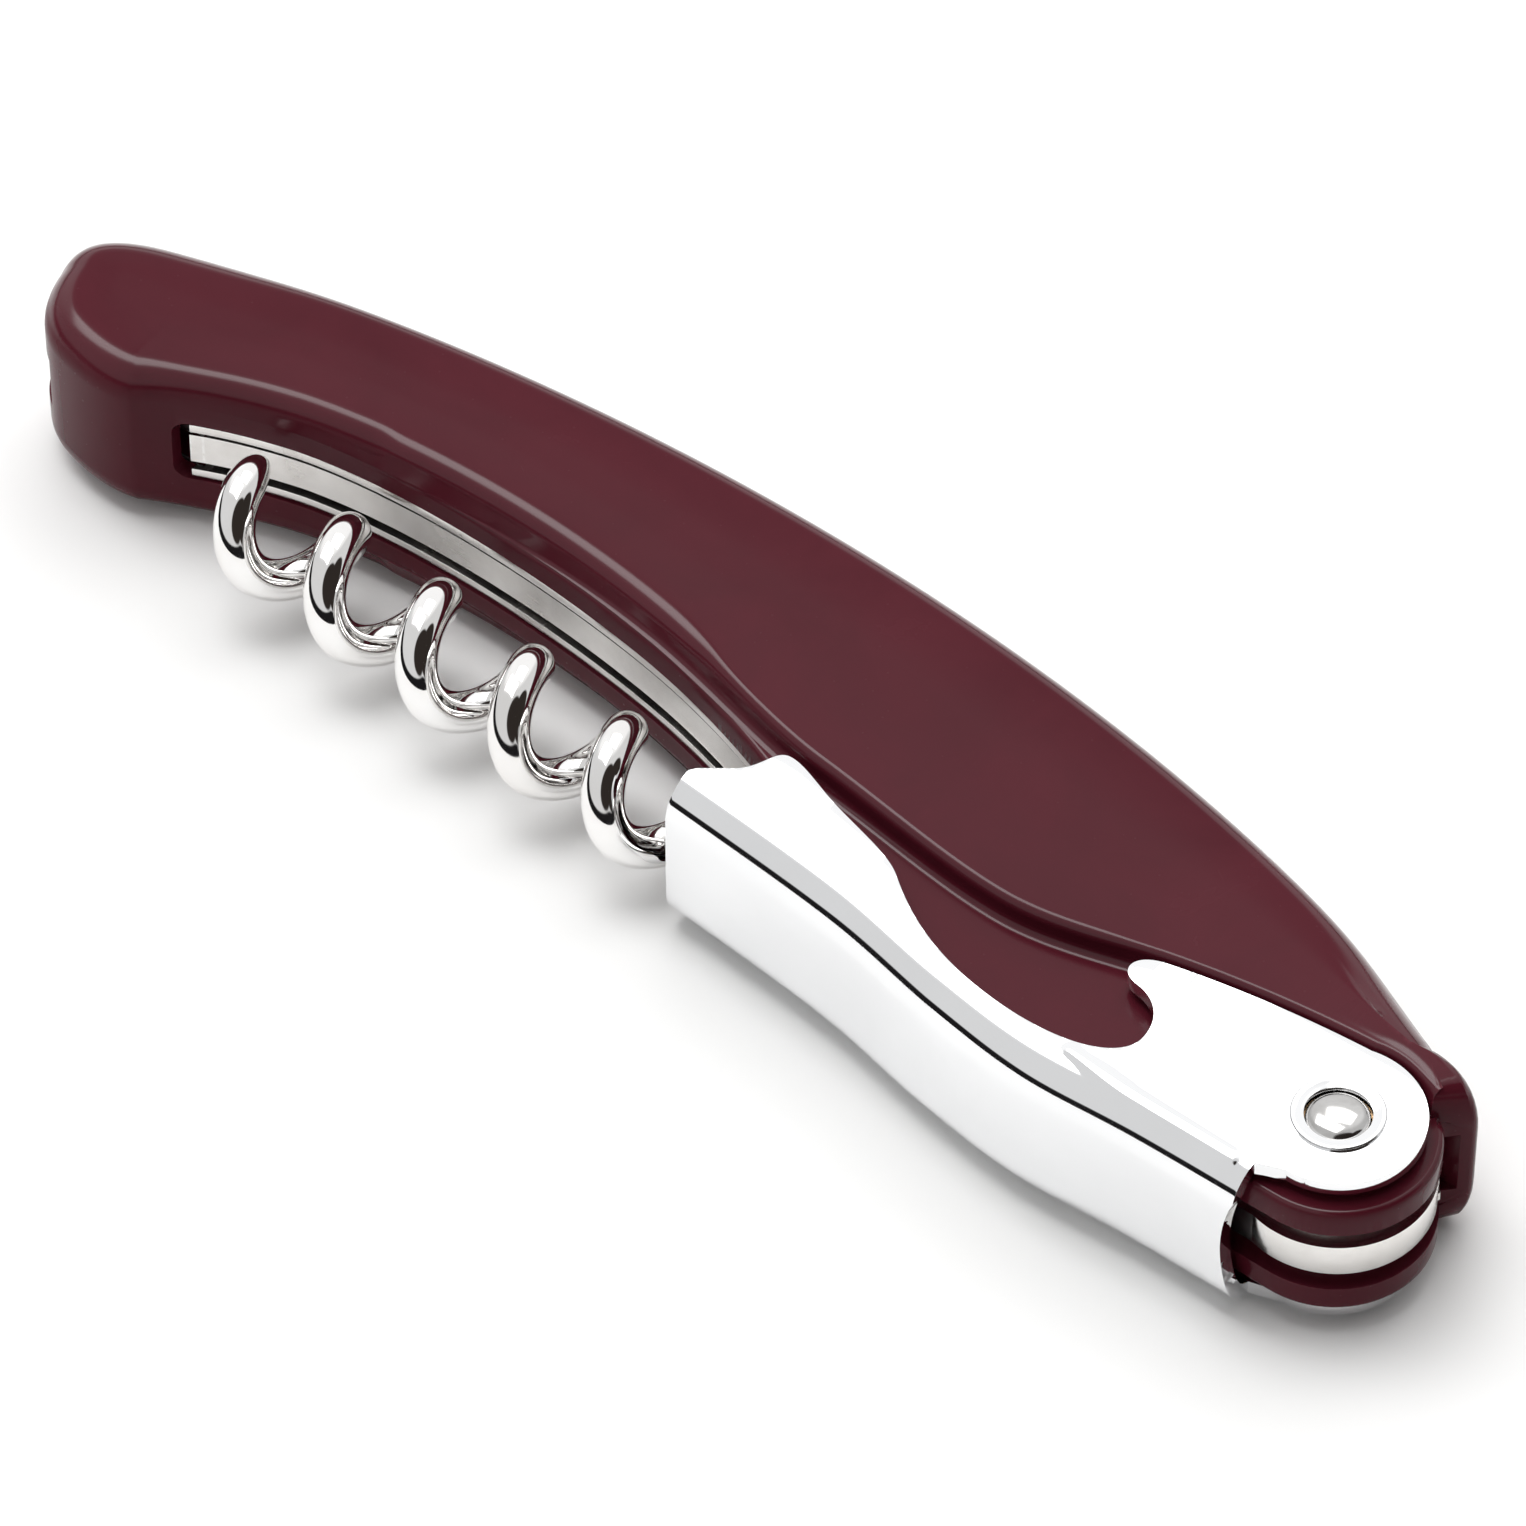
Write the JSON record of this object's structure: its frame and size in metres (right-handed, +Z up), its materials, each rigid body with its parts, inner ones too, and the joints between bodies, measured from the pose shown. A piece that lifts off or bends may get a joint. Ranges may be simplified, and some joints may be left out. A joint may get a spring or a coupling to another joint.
{
  "type": "lever corkscrew",
  "caption": "Folding waiter's corkscrew: curved painted handle, steel lever with bottle foot and cap lifter, wire worm, small foil knife in the back.",
  "frame": {"origin": "centre of the box's underside, the tool lying on its side, folded shut", "axes": "+X along the tool towards the lever's pivot, +Y towards the curved back edge, +Z up, square to the flat sides"},
  "size_m": [0.1242, 0.0302, 0.0142],
  "materials": {
    "handle_paint": "glossy burgundy enamel",
    "bright_chrome": "polished chrome plate on pressed steel",
    "worm_chrome": "polished chrome plate on wire",
    "frame_steel": "ground steel, lightly polished edges",
    "blade_steel": "satin steel",
    "rivet_steel": "burnished steel",
    "washer_bronze": "plain bronze"
  },
  "bodies": {
    "handle": {"handle_shell": "handle_paint", "liner_top": "frame_steel", "liner_bottom": "frame_steel", "spring_plate": "frame_steel", "lever_rivet": "rivet_steel", "lever_washer_top": "washer_bronze", "lever_washer_bottom": "washer_bronze", "worm_pin": "rivet_steel", "worm_washer_top": "washer_bronze", "worm_washer_bottom": "washer_bronze", "knife_pin": "rivet_steel", "knife_washer_top": "washer_bronze", "knife_washer_bottom": "washer_bronze", "knife_stop_pin": "rivet_steel", "frame_rivet_1": "rivet_steel", "frame_rivet_2": "rivet_steel", "frame_rivet_3": "rivet_steel"},
    "lever": {"lever": "bright_chrome", "rivet_ring_top": "bright_chrome", "rivet_ring_bottom": "bright_chrome"},
    "worm": {"worm": "worm_chrome"},
    "knife": {"knife_blade": "blade_steel"}
  },
  "joints": [
    {"name": "lever_hinge", "type": "hinge", "parent": "handle", "child": "lever", "pos_m": [0.05513, -0.00536, 0.0071], "axis": [0, 0, 1], "range_deg": [0, 140]},
    {"name": "worm_hinge", "type": "hinge", "parent": "handle", "child": "worm", "pos_m": [0.02363, -0.00876, 0.0071], "axis": [0, 0, 1], "range_deg": [0, 91]},
    {"name": "knife_hinge", "type": "hinge", "parent": "handle", "child": "knife", "pos_m": [-0.05427, 0.00334, 0.0071], "axis": [0, 0, 1], "range_deg": [0, 175]}
  ],
  "couplings": [
    {"joint": "worm_hinge", "follows": "lever_hinge", "ratio": 0.65}
  ]
}
